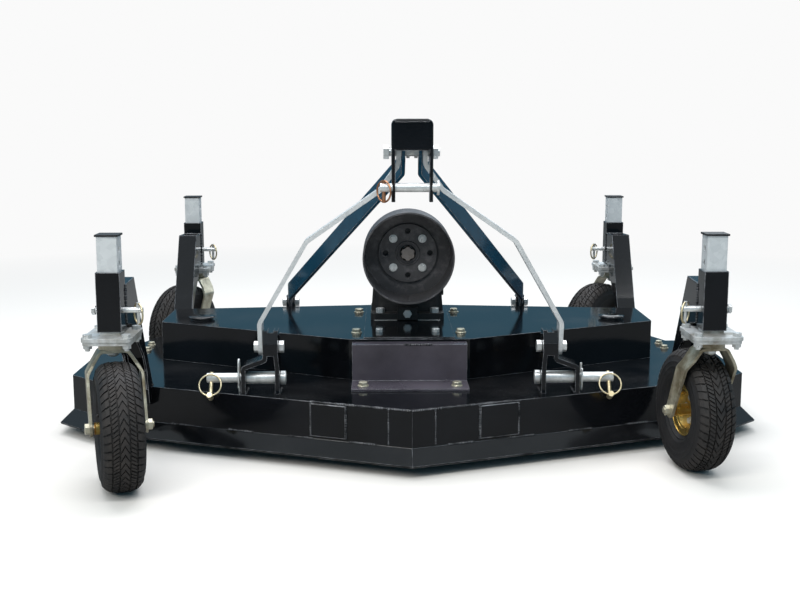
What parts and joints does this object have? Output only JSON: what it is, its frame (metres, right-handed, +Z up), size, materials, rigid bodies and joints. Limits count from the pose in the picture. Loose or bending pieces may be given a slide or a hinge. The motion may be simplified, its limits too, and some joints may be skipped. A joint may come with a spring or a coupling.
{
  "type": "three-point hitch finishing mower",
  "caption": "Rear-mounted finishing mower: wide low deck on castering pneumatic wheels, A-frame hitch mast, gearbox behind a bell guard, covered belt drive and blades below.",
  "frame": {"origin": "on the ground under the middle of the parked mower's bounding box", "axes": "+X to the right of somebody facing the hitch, +Y away from the tractor, +Z up"},
  "size_m": [1.7036, 1.3396, 0.764],
  "materials": {
    "black_paint": "gloss black paint on steel plate",
    "gear_case": "black paint over rough iron castings",
    "guard_plastic": "dull black moulded plastic",
    "cast_housing": "dark painted casting",
    "cap_paint": "gloss black pressed steel",
    "cap_plastic": "black push-in plastic",
    "galvanised": "dull light grey galvanised steel",
    "bright_zinc": "bright zinc plate",
    "yellow_zinc": "yellow zinc plate",
    "copper_zinc": "copper-toned yellow zinc plate",
    "pale_zinc": "pale yellow zinc plate",
    "gold_zinc": "iridescent yellow zinc plate",
    "tyre_rubber": "dusty black rubber",
    "shaft_steel": "greased machined steel",
    "blade_steel": "dark rolled steel with ground edges"
  },
  "bodies": {
    "mower_frame": {"deck_shell": "black_paint", "belt_cover": "black_paint", "centre_panel": "black_paint", "cover_plate": "black_paint", "gearbox": "gear_case", "pto_guard": "guard_plastic", "spindle_housings": "cast_housing", "spindle_caps": "cap_paint", "front_uprights": "black_paint", "rear_uprights": "black_paint", "front_posts": "galvanised", "rear_posts": "galvanised", "post_caps": "cap_plastic", "plate_bolts": "bright_zinc", "lock_pins": "yellow_zinc", "hitch_clevises": "black_paint", "hitch_pins": "bright_zinc", "hitch_clips": "yellow_zinc", "mast_arms": "galvanised", "mast_bolt": "bright_zinc", "rear_struts": "black_paint", "strut_lugs": "black_paint", "guard_bolts": "bright_zinc"},
    "top_link_bracket": {"top_bracket": "black_paint", "top_link_pin": "bright_zinc", "top_link_clip": "copper_zinc"},
    "input_shaft": {"pto_shaft": "shaft_steel"},
    "middle_blade": {"centre_blade": "blade_steel"},
    "left_blade_rotor": {"left_blade": "blade_steel"},
    "right_blade_rotor": {"right_blade": "blade_steel"},
    "front_left_caster": {"front_left_fork": "pale_zinc"},
    "front_left_wheel": {"front_left_rim": "gold_zinc", "front_left_tyre": "tyre_rubber"},
    "front_right_caster": {"front_right_fork": "pale_zinc"},
    "front_right_wheel": {"front_right_rim": "gold_zinc", "front_right_tyre": "tyre_rubber"},
    "rear_left_caster": {"rear_left_fork": "pale_zinc"},
    "rear_left_wheel": {"rear_left_rim": "gold_zinc", "rear_left_tyre": "tyre_rubber"},
    "rear_right_caster": {"rear_right_fork": "pale_zinc"},
    "rear_right_wheel": {"rear_right_rim": "gold_zinc", "rear_right_tyre": "tyre_rubber"}
  },
  "joints": [
    {"name": "front_left_swivel", "type": "hinge", "parent": "mower_frame", "child": "front_left_caster", "pos_m": [-0.63, -0.473, 0.3], "axis": [0, 0, 1], "continuous": true},
    {"name": "front_left_wheel_spin", "type": "hinge", "parent": "front_left_caster", "child": "front_left_wheel", "pos_m": [-0.6096, -0.53577, 0.135], "axis": [0.9511, 0.309, 0], "continuous": true},
    {"name": "front_right_swivel", "type": "hinge", "parent": "mower_frame", "child": "front_right_caster", "pos_m": [0.63, -0.473, 0.3], "axis": [0, 0, 1], "continuous": true},
    {"name": "front_right_wheel_spin", "type": "hinge", "parent": "front_right_caster", "child": "front_right_wheel", "pos_m": [0.61968, -0.40781, 0.135], "axis": [-0.9877, -0.1564, 0], "continuous": true},
    {"name": "rear_left_swivel", "type": "hinge", "parent": "mower_frame", "child": "rear_left_caster", "pos_m": [-0.63, 0.6, 0.3], "axis": [0, 0, 1], "continuous": true},
    {"name": "rear_left_wheel_spin", "type": "hinge", "parent": "rear_left_caster", "child": "rear_left_wheel", "pos_m": [-0.65789, 0.54018, 0.135], "axis": [0.9063, -0.4226, 0], "continuous": true},
    {"name": "rear_right_swivel", "type": "hinge", "parent": "mower_frame", "child": "rear_right_caster", "pos_m": [0.63, 0.6, 0.3], "axis": [0, 0, 1], "continuous": true},
    {"name": "rear_right_wheel_spin", "type": "hinge", "parent": "rear_right_caster", "child": "rear_right_wheel", "pos_m": [0.58252, 0.55415, 0.135], "axis": [0.6947, -0.7193, 0], "continuous": true},
    {"name": "top_bracket_tilt", "type": "hinge", "parent": "mower_frame", "child": "top_link_bracket", "pos_m": [0, -0.373, 0.693], "axis": [-1, 0, 0], "range_deg": [0, 60]},
    {"name": "middle_blade_spin", "type": "hinge", "parent": "mower_frame", "child": "middle_blade", "pos_m": [0, -0.128, 0.054], "axis": [0, 0, 1], "continuous": true},
    {"name": "left_blade_spin", "type": "hinge", "parent": "mower_frame", "child": "left_blade_rotor", "pos_m": [-0.536, 0.12, 0.054], "axis": [0, 0, 1], "continuous": true},
    {"name": "right_blade_spin", "type": "hinge", "parent": "mower_frame", "child": "right_blade_rotor", "pos_m": [0.536, 0.12, 0.054], "axis": [0, 0, 1], "continuous": true},
    {"name": "input_shaft_spin", "type": "hinge", "parent": "mower_frame", "child": "input_shaft", "pos_m": [0, 0.05, 0.425], "axis": [0, -1, 0], "continuous": true}
  ],
  "couplings": [
    {"joint": "left_blade_spin", "follows": "middle_blade_spin", "ratio": 1},
    {"joint": "right_blade_spin", "follows": "middle_blade_spin", "ratio": 1},
    {"joint": "input_shaft_spin", "follows": "middle_blade_spin", "ratio": 0.2}
  ]
}
